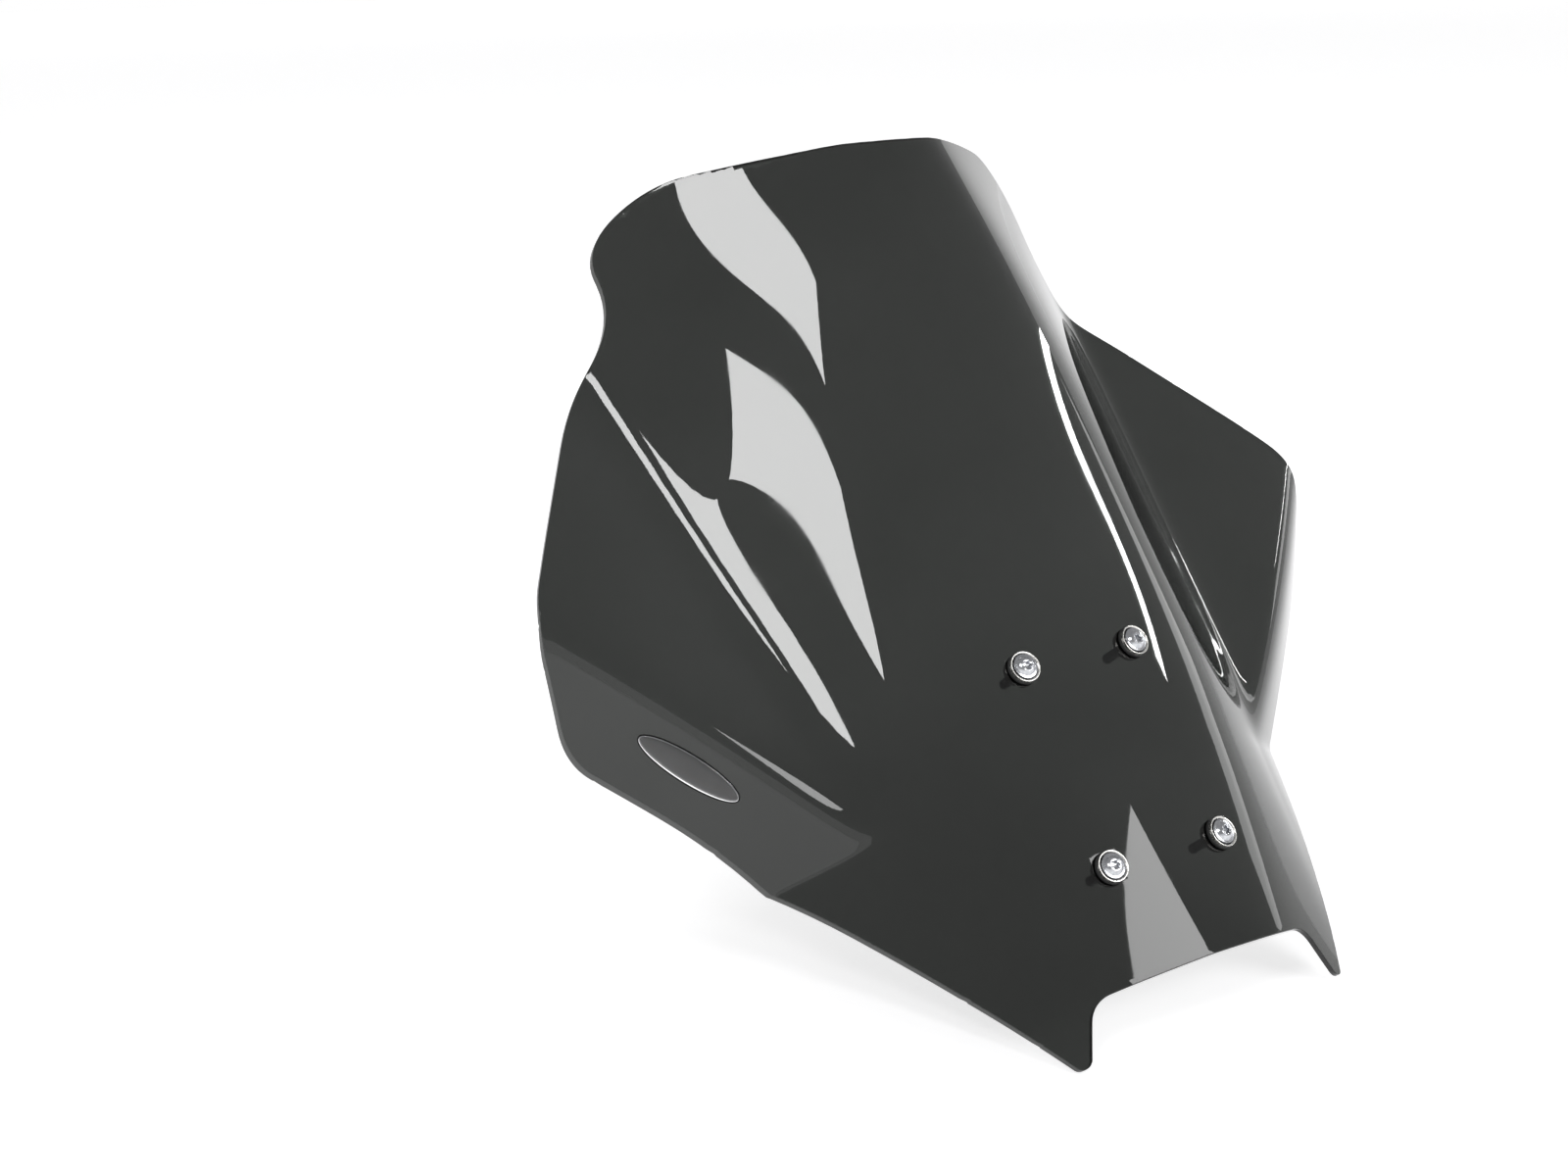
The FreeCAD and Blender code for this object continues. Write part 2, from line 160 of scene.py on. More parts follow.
world = bpy.data.worlds.new("studio_world")
world.use_nodes = True
scene.world = world
tree = world.node_tree
background = tree.nodes["Background"]
background.inputs["Color"].default_value = (1, 1, 1, 1)
strength = tree.nodes.new("ShaderNodeMapRange")
strength.inputs["To Min"].default_value = WORLD_LIGHT
strength.inputs["To Max"].default_value = 1.0
tree.links.new(seen_directly(tree), strength.inputs["Value"])
tree.links.new(strength.outputs["Result"], background.inputs["Strength"])


def direction(azimuth, elevation):
    """Unit vector at an azimuth from the front, positive to the rider's left, and an elevation."""
    a = math.radians(azimuth)
    e = math.radians(elevation)
    return Vector((math.sin(a) * math.cos(e), -math.cos(a) * math.cos(e), math.sin(e)))


def lamp(name, facing, middle, along, long_side, short_side, brightness):
    """Rectangular lamp at a point, its back to one direction and its long side along another."""
    lamp_data = bpy.data.lights.new(name, "AREA")
    lamp_data.shape = "RECTANGLE"
    lamp_data.size = long_side
    lamp_data.size_y = short_side
    lamp_data.energy = brightness * math.pi * long_side * short_side
    across = along.normalized()
    piece = bpy.data.objects.new(name, lamp_data)
    turn = Matrix((across, facing.cross(across).normalized(), facing)).transposed().to_4x4()
    piece.matrix_world = Matrix.Translation(middle) @ turn
    scene.collection.objects.link(piece)


def softbox(name, stand, across, up, brightness):
    """Lamp on an upright stand; across and up are its edges' places on the stand, in metres."""
    facing = direction(*stand)
    right = Vector((0, 0, 1)).cross(facing).normalized()
    rise = facing.cross(right)
    middle = facing * LAMP_DISTANCE + right * sum(across) / 2 + rise * sum(up) / 2
    lamp(name, facing, middle, right, across[1] - across[0], up[1] - up[0], brightness)


def tube(name, start, end, width, brightness):
    """Thin lamp from one direction to another."""
    ends = [direction(*start) * LAMP_DISTANCE, direction(*end) * LAMP_DISTANCE]
    middle = (ends[0] + ends[1]) / 2
    along = ends[1] - ends[0]
    lamp(name, middle.normalized(), middle, along, along.length, width, brightness)


softbox("near_softbox_high", (-60, 46), (-1.09, 0.38), (0.36, 0.87), 15)
softbox("near_softbox_low", (-60, 46), (-1.09, 0.38), (-0.48, -0.01), 15)
softbox("front_softbox", (27, 32), (-1.45, 1.45), (-0.70, 0.70), 7)
softbox("far_board", (82, 15), (-0.80, 0.90), (-0.30, 0.40), 2.5)
tube("far_tube", (69, 29.4), (101, 16), 0.06, 28)

# ---------------------------------------------------------------------------- screen
# One sheet of 3 mm smoked acrylic, warmed and drawn over a mould: a crowned centre panel, a side
# wall each side, and wings that stand out from a valley and fold down again into a skirt. It is
# trimmed to its outline, drilled for the four fixings, and its edge is flame polished.

ACRYLIC = 0.003
LEAN_BACK = math.radians(40)
CELL = 0.003                                   # size of the cells that the sheet bends between
POLISH = 0.0004                                # rounding of the polished edge
HOLE_RADIUS = 0.0052
HOLE_REACH = 0.0078                            # half side of the square redrawn round a hole
FIXING_ACROSS = 0.0335
FIXING_UP = 0.050
HOLE_COLLAR = 0.001                            # width of the ring of faces round a hole
SLIVER = 0.0004                                # cells' edges shorter than this are closed up
LEAN = Matrix.Rotation(math.radians(90) - LEAN_BACK, 4, "X")

# the form that the mould gives it: a half is a distance from the panel's middle line, and an up
# is a height along the panel
LOWER_EDGE_DOWN = 0.101
TOP_MIDDLE_UP = 0.314
CROWN_LOW = 0.700                              # radius of the centre panel at its lower edge
CROWN_HIGH = 0.410                             # and at its top edge
KICK_SLOPE = 0.19                              # how far the top stands up, and from where
KICK_UP = 0.126
KICK_BLEND = 0.087
RIDGE_HALF = 0.0755                            # the centre panel at its widest, and where
RIDGE_UP = 0.088
RIDGE_BOW = 0.049                              # how far the ridge comes in over RIDGE_SPREAD
RIDGE_SPREAD = 0.240
RIDGE_BLEND = 0.017
WALL_SLOPE = 0.72                              # the side wall at its steepest, and where
WALL_UP = 0.176
WALL_EASE = 0.35                               # how much of that it loses over WALL_SPREAD
WALL_SPREAD = 0.280
VALLEY_FOOT_HALF = 0.119
VALLEY_FOOT_UP = -0.0015
VALLEY_TOP_HALF = 0.155
VALLEY_TOP_UP = 0.260
VALLEY_BLEND = 0.009
WING_RISE = 0.56                               # slope of the wing as it stands out
FOLD_TIP_HALF = 0.230
FOLD_TIP_UP = 0.130
FOLD_BLEND = 0.012
SKIRT_SLOPE = 0.75                             # slope of the skirt as it falls again

FIXINGS = [(height + "_" + side, across * FIXING_ACROSS, up * FIXING_UP)
           for height, up in (("upper", 1), ("lower", -1))
           for side, across in (("right", -1), ("left", 1))]


def ramp(t, blend):
    """Zero below t = 0 and t above it, with the corner rounded over about one blend length."""
    return 0.5 * (t + math.sqrt(t * t + blend * blend))


def from_valley_foot(w, end_half, end_up):
    """Half width at a height of the straight line from the valley's foot through an end."""
    spread = end_half - VALLEY_FOOT_HALF
    return VALLEY_FOOT_HALF + spread * (w - VALLEY_FOOT_UP) / (end_up - VALLEY_FOOT_UP)


def form_height(x, w):
    """Height of the outer face over the panel plane, x across and w up the panel."""
    across = abs(x)
    share = (w + LOWER_EDGE_DOWN) / (TOP_MIDDLE_UP + LOWER_EDGE_DOWN)
    crown = 0.5 / CROWN_LOW + share * 0.5 * (1 / CROWN_HIGH - 1 / CROWN_LOW)
    ridge = RIDGE_HALF - RIDGE_BOW * ((w - RIDGE_UP) / RIDGE_SPREAD) ** 2
    wall = WALL_SLOPE - WALL_EASE * ((w - WALL_UP) / WALL_SPREAD) ** 2
    valley = from_valley_foot(w, VALLEY_TOP_HALF, VALLEY_TOP_UP)
    fold = max(valley, from_valley_foot(w, FOLD_TIP_HALF, FOLD_TIP_UP))
    kick = KICK_SLOPE * (ramp(w - KICK_UP, KICK_BLEND) - ramp(-KICK_UP, KICK_BLEND))
    drop = wall * (ramp(across - ridge, RIDGE_BLEND) - ramp(-ridge, RIDGE_BLEND))
    rise = (wall + WING_RISE) * ramp(across - valley, VALLEY_BLEND)
    skirt = (SKIRT_SLOPE + WING_RISE) * ramp(across - fold, FOLD_BLEND)
    return kick - crown * x * x - drop + rise - skirt


def form_slopes(x, w):
    """Slopes of the outer face across the panel and up it."""
    step = 0.0005
    across = (form_height(x + step, w) - form_height(x - step, w)) / (2 * step)
    up = (form_height(x, w + step) - form_height(x, w - step)) / (2 * step)
    return across, up


def panel_seat(x, w):
    """Place on the outer face with Z straight out of it, before the panel leans back."""
    across, up = form_slopes(x, w)
    turn = Vector((0, 0, 1)).rotation_difference(Vector((-across, -up, 1)))
    return Matrix.Translation((x, w, form_height(x, w))) @ turn.to_matrix().to_4x4()


# corners of one half from the top middle to the lower edge, each with the length that its
# rounding takes from both sides
HALF_OUTLINE = [
    ((0.000, TOP_MIDDLE_UP), 0.060), ((0.105, 0.347), 0.030), ((0.136, 0.333), 0.025),
    ((0.134, 0.290), 0.060), ((0.168, 0.254), 0.045), ((0.217, 0.175), 0.060),
    ((0.237, 0.141), 0.060), ((0.229, 0.083), 0.014), ((0.162, 0.008), 0.120),
    ((0.080, -0.128), 0.005), ((0.075, -0.127), 0.005), ((0.065, -0.102), 0.009),
    ((0.000, -LOWER_EDGE_DOWN), 0.000),
]
ROUND_STEPS = 10


def rounded(corners):
    """Closed line through the corners, each rounded by a curve tangent to both sides."""
    points = []
    for i, (corner, reach) in enumerate(corners):
        before = corners[i - 1][0] - corner
        after = corners[(i + 1) % len(corners)][0] - corner
        back = min(reach, 0.5 * before.length, 0.5 * after.length)
        start = corner + before.normalized() * back
        end = corner + after.normalized() * back
        steps = ROUND_STEPS if back else 0
        for step in range(steps + 1):
            t = step / max(steps, 1)
            points.append((1 - t) ** 2 * start + 2 * t * (1 - t) * corner + t * t * end)
    return points


def blank():
    """Flat sheet cut to its outline and scored into cells, so that it can bend."""
    right = [(Vector(corner), reach) for corner, reach in HALF_OUTLINE]
    left = [(Vector((-corner.x, corner.y)), reach) for corner, reach in reversed(right[1:-1])]
    bm = bmesh.new()
    corners = [bm.verts.new((p.x, p.y, 0)) for p in reversed(rounded(right + left))]
    bm.faces.new(corners)
    bmesh.ops.remove_doubles(bm, verts=bm.verts, dist=1e-5)
    widest = max(corner[0] for corner, _ in HALF_OUTLINE)
    heights = [corner[1] for corner, _ in HALF_OUTLINE]
    for axis, low, high in ((Vector((1, 0, 0)), -widest, widest),
                            (Vector((0, 1, 0)), min(heights), max(heights))):
        for i in range(math.ceil(low / CELL), math.floor(high / CELL) + 1):
            bmesh.ops.bisect_plane(bm, geom=bm.verts[:] + bm.edges[:] + bm.faces[:], dist=1e-6,
                                   plane_co=axis * (i * CELL), plane_no=axis)
    bmesh.ops.remove_doubles(bm, verts=bm.verts, dist=SLIVER)
    return bm


def drill(bm, x, w):
    """Cut a round hole through the flat sheet."""
    cells = []
    for face in bm.faces:
        cell = face.calc_center_median()
        if max(abs(cell.x - x), abs(cell.y - w)) < HOLE_REACH:
            cells.append(face)
    disc = bmesh.ops.dissolve_faces(bm, faces=cells)["region"][0]
    bmesh.ops.subdivide_edges(bm, edges=disc.edges[:], cuts=1)
    bmesh.ops.inset_individual(bm, faces=[disc], thickness=HOLE_COLLAR, use_even_offset=True)
    centre = Vector((x, w, 0))
    for vert in disc.verts:
        vert.co = centre + (vert.co - centre).normalized() * HOLE_RADIUS
    bmesh.ops.delete(bm, geom=[disc], context="FACES_ONLY")


def nearest_hole(point):
    """The fixing's place whose hole a point of the flat sheet lies on the edge of, or None."""
    for _, x, w in FIXINGS:
        if math.hypot(point.x - x, point.y - w) < HOLE_RADIUS * 1.01:
            return x, w
    return None


def formed(point, depth):
    """Where forming takes a point of the flat sheet that lies some depth behind the outer face."""
    hole = nearest_hole(point)
    if hole:
        return panel_seat(*hole) @ Vector((point.x - hole[0], point.y - hole[1], -depth))
    across, up = form_slopes(point.x, point.y)
    behind = depth * math.sqrt(1 + across ** 2 + up ** 2)
    return Vector((point.x, point.y, form_height(point.x, point.y) - behind))


bm = blank()
for _, x, w in FIXINGS:
    drill(bm, x, w)
outer = bm.verts[:]
drawn = bmesh.ops.duplicate(bm, geom=bm.verts[:] + bm.edges[:] + bm.faces[:])
inner = [item for item in drawn["geom"] if isinstance(item, bmesh.types.BMVert)]
inner_faces = [item for item in drawn["geom"] if isinstance(item, bmesh.types.BMFace)]
bmesh.ops.reverse_faces(bm, faces=inner_faces)
rims = {}
for edge in bm.edges:
    if edge.is_boundary:
        rims.setdefault(nearest_hole(edge.verts[0].co), []).append(edge)
for verts, depth in ((outer, 0), (inner, ACRYLIC)):
    for vert in verts:
        vert.co = formed(vert.co, depth)
for rim in rims.values():
    bmesh.ops.bridge_loops(bm, edges=rim)
bmesh.ops.bevel(bm, geom=rims[None], offset=POLISH, offset_type="OFFSET", segments=2, profile=0.5,
                affect="EDGES", material=-1)
bmesh.ops.transform(bm, matrix=LEAN, verts=bm.verts)


NOISE_LOW = 0.3                                # the noise seldom leaves this range
NOISE_HIGH = 0.7
SMOKE_TONES = ((0.023, 0.025, 0.023), (0.028, 0.030, 0.028))


def vary(tree, socket, scale, low, high, detail=2.0):
    """Drive a number socket with noise in object space, between two values."""
    place = tree.nodes.new("ShaderNodeTexCoord")
    noise = tree.nodes.new("ShaderNodeTexNoise")
    noise.inputs["Scale"].default_value = scale
    noise.inputs["Detail"].default_value = detail
    spread = tree.nodes.new("ShaderNodeMapRange")
    spread.inputs["From Min"].default_value = NOISE_LOW
    spread.inputs["From Max"].default_value = NOISE_HIGH
    spread.inputs["To Min"].default_value = low
    spread.inputs["To Max"].default_value = high
    tree.links.new(place.outputs["Object"], noise.inputs["Vector"])
    tree.links.new(noise.outputs["Fac"], spread.inputs["Value"])
    tree.links.new(spread.outputs["Result"], socket)


def tint(tree, shader, scale, first, second):
    """Colour that wanders between two tones in object space."""
    blend = tree.nodes.new("ShaderNodeMix")
    blend.data_type = "RGBA"
    blend.inputs["A"].default_value = (*first, 1)
    blend.inputs["B"].default_value = (*second, 1)
    vary(tree, blend.inputs["Factor"], scale, 0, 1)
    tree.links.new(blend.outputs["Result"], shader.inputs["Base Color"])


def grain(tree, shader, scale, depth):
    """Fine relief of the surface, as a bump in metres."""
    bump = tree.nodes.new("ShaderNodeBump")
    bump.inputs["Distance"].default_value = depth
    vary(tree, bump.inputs["Height"], scale, 0, 1, 3.0)
    tree.links.new(bump.outputs["Normal"], shader.inputs["Normal"])


acrylic, tree, shader = new_material("smoked_acrylic")
tint(tree, shader, 9, *SMOKE_TONES)
vary(tree, shader.inputs["Roughness"], 30, 0.0, 0.03)
shader.inputs["IOR"].default_value = 1.49
shader.inputs["Transmission Weight"].default_value = 1.0


def finish_edges(piece):
    """Keep flat faces flat in the shading, and round only across the narrow bevels."""
    weighted = piece.modifiers.new("weighted", "WEIGHTED_NORMAL")
    weighted.mode = "FACE_AREA"
    weighted.weight = 100


screen = new_object("smoked_screen", bm, acrylic)
finish_edges(screen)
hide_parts("screen")
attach(screen, "root")

# ---------------------------------------------------------------------------- screws
# Four M5 screws of bright zinc-plated steel, rolled thread, with a wide flange, a domed button
# and a six-lobe socket. Each one clamps its sleeve, and so the screen, to the scooter's carrier.

SHANK_TIP = -0.0225
THREAD_TOP = -0.0064
THREAD_ROOT = 0.0021
THREAD_CREST = 0.0025
THREAD_PITCH = 0.0008
THREAD_FLANK = 0.00028                         # height of each sloping side of the ridge
THREAD_LAND = 0.0001                           # flat left on the ridge's crest
THREAD_SINK = 0.0001                           # how far the ridge's foot is sunk in the core
THREAD_STEPS = 24                              # facets in one turn of the thread
TIP_BEVEL_IN = 0.0004
TIP_BEVEL_UP = 0.0006
NECK_RADIUS = 0.00224
HEAD_SEAT = 0.0025
FLANGE_RADIUS = 0.0059
FLANGE_TOP = 0.0035
BUTTON_RADIUS = 0.00475
BUTTON_TOP = 0.00525
BUTTON_FLAT = 0.0029
SOCKET_RADIUS = 0.00155
SOCKET_LOBE = 0.00055
SOCKET_FLOOR = 0.00365
HEAD_EASE = 0.00007
SHARP = math.radians(25)                       # edges that turn by more than this are eased
ZINC_TONES = ((0.60, 0.61, 0.63), (0.42, 0.43, 0.46))


def turn(bm, profile, closed=True, steps=96):
    """Solid of revolution about Z from a line of (radius, height) corners."""
    corners = [bm.verts.new((radius, 0, height)) for radius, height in profile]
    pairs = list(zip(corners, corners[1:])) + ([(corners[-1], corners[0])] if closed else [])
    edges = [bm.edges.new(pair) for pair in pairs]
    bmesh.ops.spin(bm, geom=corners + edges, cent=(0, 0, 0), axis=(0, 0, 1), dvec=(0, 0, 0),
                   angle=2 * math.pi, steps=steps, use_merge=True)
    bmesh.ops.remove_doubles(bm, verts=bm.verts, dist=1e-7)
    bmesh.ops.recalc_face_normals(bm, faces=bm.faces)


def ease(bm, width, segments=2):
    """Round every sharp edge a little."""
    sharp = [edge for edge in bm.edges
             if edge.is_manifold and edge.calc_face_angle() > SHARP]
    bmesh.ops.bevel(bm, geom=sharp, offset=width, offset_type="OFFSET", segments=segments,
                    profile=0.5, affect="EDGES", material=-1)


def button_arc(steps=8):
    """Corners up the domed side of the button, on an arc centred on the axis."""
    centre = ((BUTTON_FLAT ** 2 + BUTTON_TOP ** 2 - BUTTON_RADIUS ** 2 - FLANGE_TOP ** 2)
              / (2 * (BUTTON_TOP - FLANGE_TOP)))
    low = math.atan2(FLANGE_TOP - centre, BUTTON_RADIUS)
    high = math.atan2(BUTTON_TOP - centre, BUTTON_FLAT)
    radius = math.hypot(BUTTON_RADIUS, FLANGE_TOP - centre)
    angles = [low + (high - low) * i / steps for i in range(steps + 1)]
    return [(radius * math.cos(a), centre + radius * math.sin(a)) for a in angles]


def lobed(angle):
    """Radius of the six-lobe socket at an angle: a round core with six round lobes on its edge."""
    sixth = math.pi / 3
    off = (angle + sixth / 2) % sixth - sixth / 2
    across = SOCKET_RADIUS * math.sin(off)
    if abs(across) >= SOCKET_LOBE:
        return SOCKET_RADIUS
    lobe = SOCKET_RADIUS * math.cos(off) + math.sqrt(SOCKET_LOBE ** 2 - across ** 2)
    return max(SOCKET_RADIUS, lobe)


def thread(bm):
    """Helical ridge of the thread, its foot sunk into the core."""
    foot = THREAD_ROOT - THREAD_SINK
    low = SHANK_TIP + THREAD_PITCH
    turns = int((THREAD_TOP - low) / THREAD_PITCH) - 1
    section = [(foot, 0), (THREAD_CREST, THREAD_FLANK), (THREAD_CREST, THREAD_FLANK + THREAD_LAND),
               (foot, 2 * THREAD_FLANK + THREAD_LAND)]
    corners = [bm.verts.new((radius, 0, low + up)) for radius, up in section]
    edges = [bm.edges.new((corners[i - 1], corners[i])) for i in range(4)]
    steps = turns * THREAD_STEPS
    bmesh.ops.spin(bm, geom=corners + edges, cent=(0, 0, 0), axis=(0, 0, 1),
                   dvec=(0, 0, THREAD_PITCH / THREAD_STEPS), angle=2 * math.pi * turns, steps=steps)
    bmesh.ops.holes_fill(bm, edges=[edge for edge in bm.edges if edge.is_boundary], sides=4)
    bmesh.ops.recalc_face_normals(bm, faces=bm.faces)


zinc, tree, shader = new_material("zinc_steel")
tint(tree, shader, 900, *ZINC_TONES)
vary(tree, shader.inputs["Roughness"], 700, 0.08, 0.22)
grain(tree, shader, 1500, 0.00002)
shader.inputs["Metallic"].default_value = 1.0

for place, x, w in FIXINGS:
    bm = bmesh.new()
    turn(bm, [(0, SHANK_TIP), (THREAD_ROOT - TIP_BEVEL_IN, SHANK_TIP),
              (THREAD_ROOT, SHANK_TIP + TIP_BEVEL_UP), (THREAD_ROOT, THREAD_TOP),
              (NECK_RADIUS, THREAD_TOP), (NECK_RADIUS, HEAD_SEAT), (FLANGE_RADIUS, HEAD_SEAT),
              (FLANGE_RADIUS, FLANGE_TOP), *button_arc(),
              (SOCKET_RADIUS, BUTTON_TOP), (SOCKET_RADIUS, SOCKET_FLOOR), (0, SOCKET_FLOOR)],
         closed=False)
    for vert in bm.verts:
        radius = math.hypot(vert.co.x, vert.co.y)
        if vert.co.z > HEAD_SEAT and abs(radius - SOCKET_RADIUS) < 1e-5:
            scale = lobed(math.atan2(vert.co.y, vert.co.x)) / radius
            vert.co.x *= scale
            vert.co.y *= scale
    ease(bm, HEAD_EASE)
    thread(bm)
    bmesh.ops.transform(bm, matrix=LEAN @ panel_seat(x, w), verts=bm.verts)
    screw = new_object(place + "_button_screw", bm, zinc)
    finish_edges(screw)
    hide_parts(place + "_screw")
    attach(screw, "root")

# ---------------------------------------------------------------------------- dished washers
# A pressed steel cup under each head: a flat floor that flares up to a thin rim. Its colour is
# painted light: painted shade, dark, down in the cup, and a painted highlight, bright, on the rim.

DISH_FOOT = 0.0017
DISH_BORE = 0.0027
DISH_SEAT = 0.0062
DISH_INSIDE = 0.0070
DISH_OUTSIDE = 0.0075
DISH_RIM = 0.0034
DISH_EASE = 0.00012
RIM_HIGHLIGHT_DEPTH = 0.0001                             # how far in from the rim the painted highlight reaches
# painted shade for the cup, varied at random, and a painted highlight for the rim
CUP_SHADE_TONES = ((0.035, 0.035, 0.037, 1), (0.10, 0.10, 0.105, 1))
RIM_HIGHLIGHT_TONE = (0.78, 0.77, 0.74, 1)

cup, tree, shader = new_material("cup_steel")
# the rim's attribute lays the painted highlight over the painted shade
rim_highlight_mask = tree.nodes.new("ShaderNodeAttribute")
rim_highlight_mask.attribute_name = "painted_rim_highlight"
painted_shade = tree.nodes.new("ShaderNodeMix")
painted_shade.data_type = "RGBA"
painted_shade.inputs["A"].default_value = CUP_SHADE_TONES[0]
painted_shade.inputs["B"].default_value = CUP_SHADE_TONES[1]
vary(tree, painted_shade.inputs["Factor"], 1100, 0, 1)
bright = tree.nodes.new("ShaderNodeMix")
bright.data_type = "RGBA"
bright.inputs["B"].default_value = RIM_HIGHLIGHT_TONE
tree.links.new(rim_highlight_mask.outputs["Fac"], bright.inputs["Factor"])
tree.links.new(painted_shade.outputs["Result"], bright.inputs["A"])
tree.links.new(bright.outputs["Result"], shader.inputs["Base Color"])
vary(tree, shader.inputs["Roughness"], 700, 0.18, 0.34)
grain(tree, shader, 1500, 0.00002)
shader.inputs["Metallic"].default_value = 1.0

for place, x, w in FIXINGS:
    bm = bmesh.new()
    turn(bm, [(DISH_BORE, DISH_FOOT), (DISH_OUTSIDE, DISH_FOOT), (DISH_OUTSIDE, DISH_RIM),
              (DISH_INSIDE, DISH_RIM), (DISH_SEAT, HEAD_SEAT), (DISH_BORE, HEAD_SEAT)])
    ease(bm, DISH_EASE)
    painted_rim_highlight = bm.verts.layers.float.new("painted_rim_highlight")
    # vertices on the rim carry the painted highlight, the rest the painted shade
    for vert in bm.verts:
        out = math.hypot(vert.co.x, vert.co.y)
        on_rim = vert.co.z > DISH_RIM - RIM_HIGHLIGHT_DEPTH or out > DISH_OUTSIDE - RIM_HIGHLIGHT_DEPTH
        vert[painted_rim_highlight] = 1.0 if on_rim else 0.0
    bmesh.ops.transform(bm, matrix=LEAN @ panel_seat(x, w), verts=bm.verts)
    washer = new_object(place + "_cup_washer", bm, cup)
    finish_edges(washer)
    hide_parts(place + "_dish_washer")
    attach(washer, "root")

# ---------------------------------------------------------------------------- grommets
# Moulded black rubber with a groove that grips the edge of the screen's hole, so that the sheet
# floats and isn't cracked by the screw. Its two flanges have rounded lips.

GROMMET_BORE = 0.00365
GROMMET_NECK = 0.00515
GROMMET_FLANGE = 0.0080
GROMMET_FOOT = -0.0052
GROOVE_LOW = -0.0032
GROOVE_HIGH = 0.0002
GROMMET_LIP = 0.0005
GROMMET_EASE = 0.00008
RUBBER_TONES = ((0.014, 0.014, 0.014), (0.026, 0.026, 0.026))

rubber, tree, shader = new_material("black_rubber")
tint(tree, shader, 500, *RUBBER_TONES)
vary(tree, shader.inputs["Roughness"], 300, 0.5, 0.72)
grain(tree, shader, 2500, 0.00003)

for place, x, w in FIXINGS:
    bm = bmesh.new()
    turn(bm, [(GROMMET_BORE, GROMMET_FOOT), (GROMMET_FLANGE, GROMMET_FOOT),
              (GROMMET_FLANGE, GROOVE_LOW), (GROMMET_NECK, GROOVE_LOW),
              (GROMMET_NECK, GROOVE_HIGH), (GROMMET_FLANGE, GROOVE_HIGH),
              (GROMMET_FLANGE, DISH_FOOT), (GROMMET_BORE, DISH_FOOT)])
    lips = [edge for edge in bm.edges
            if all(math.hypot(v.co.x, v.co.y) > GROMMET_FLANGE - 1e-5 for v in edge.verts)
            and abs(edge.verts[0].co.z - edge.verts[1].co.z) < 1e-6
            and not GROOVE_LOW - 1e-5 < edge.verts[0].co.z < GROOVE_HIGH + 1e-5]
    bmesh.ops.bevel(bm, geom=lips, offset=GROMMET_LIP, offset_type="OFFSET", segments=5,
                    profile=0.5, affect="EDGES", material=-1)
    ease(bm, GROMMET_EASE, 1)
    bmesh.ops.transform(bm, matrix=LEAN @ panel_seat(x, w), verts=bm.verts)
    grommet = new_object(place + "_rubber_grommet", bm, rubber)
    finish_edges(grommet)
    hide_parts(place + "_grommet")
    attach(grommet, "root")

# ---------------------------------------------------------------------------- sleeves
# A turned steel tube through each grommet, as long as the rubber is tall, so that the screw
# tightens on metal.

SLEEVE_RADIUS = 0.0036
SLEEVE_EASE = 0.0001
STEEL_TONES = ((0.46, 0.46, 0.47), (0.56, 0.56, 0.57))

steel, tree, shader = new_material("plain_steel")
tint(tree, shader, 800, *STEEL_TONES)
vary(tree, shader.inputs["Roughness"], 600, 0.28, 0.42)
grain(tree, shader, 1800, 0.00002)
shader.inputs["Metallic"].default_value = 1.0

for place, x, w in FIXINGS:
    bm = bmesh.new()
    turn(bm, [(DISH_BORE, GROMMET_FOOT), (SLEEVE_RADIUS, GROMMET_FOOT), (SLEEVE_RADIUS, DISH_FOOT),
              (DISH_BORE, DISH_FOOT)])
    ease(bm, SLEEVE_EASE)
    bmesh.ops.transform(bm, matrix=LEAN @ panel_seat(x, w), verts=bm.verts)
    sleeve = new_object(place + "_spacer_sleeve", bm, steel)
    finish_edges(sleeve)
    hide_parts(place + "_sleeve")
    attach(sleeve, "root")

# ---------------------------------------------------------------------------- rear washers
# Moulded black nylon washers between the rubber and the scooter's carrier.

REAR_RADIUS = 0.0075
REAR_FOOT = -0.0064
REAR_EASE = 0.00015
NYLON_TONES = ((0.022, 0.022, 0.023), (0.036, 0.036, 0.037))

nylon, tree, shader = new_material("black_nylon")
tint(tree, shader, 400, *NYLON_TONES)
vary(tree, shader.inputs["Roughness"], 500, 0.38, 0.5)
grain(tree, shader, 1200, 0.00002)

for place, x, w in FIXINGS:
    bm = bmesh.new()
    turn(bm, [(DISH_BORE, REAR_FOOT), (REAR_RADIUS, REAR_FOOT), (REAR_RADIUS, GROMMET_FOOT),
              (DISH_BORE, GROMMET_FOOT)])
    ease(bm, REAR_EASE)
    bmesh.ops.transform(bm, matrix=LEAN @ panel_seat(x, w), verts=bm.verts)
    rear = new_object(place + "_nylon_washer", bm, nylon)
    finish_edges(rear)
    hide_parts(place + "_rear_washer")
    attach(rear, "root")

# ---------------------------------------------------------------------------- badge foil
# A long oval of black printed foil with a thin silver border, stuck on the near wing's skirt
# along its lower edge. It carries no lettering.

BADGE_HALF_LONG = 0.027
BADGE_HALF_WIDE = 0.0072
BADGE_ALONG = 0.054                            # from the flank's corner along the lower edge
BADGE_INSET = 0.0154                           # in from that edge
FOIL = 0.0003
BORDER_MARGIN = 0.0006
BORDER_WIDTH = 0.00045
OVAL_STEPS = 120                               # facets round the oval
INNER_RINGS = (0.8, 0.75, 0.66, 0.5)           # each ring's share of the one outside it
HAIR = 0.00001
LAY_PASSES = 5                                 # enough to settle on the curved face
FOIL_TONES = ((0.006, 0.006, 0.007, 1), (0.014, 0.014, 0.015, 1))
BORDER_TONE = (0.28, 0.28, 0.29, 1)

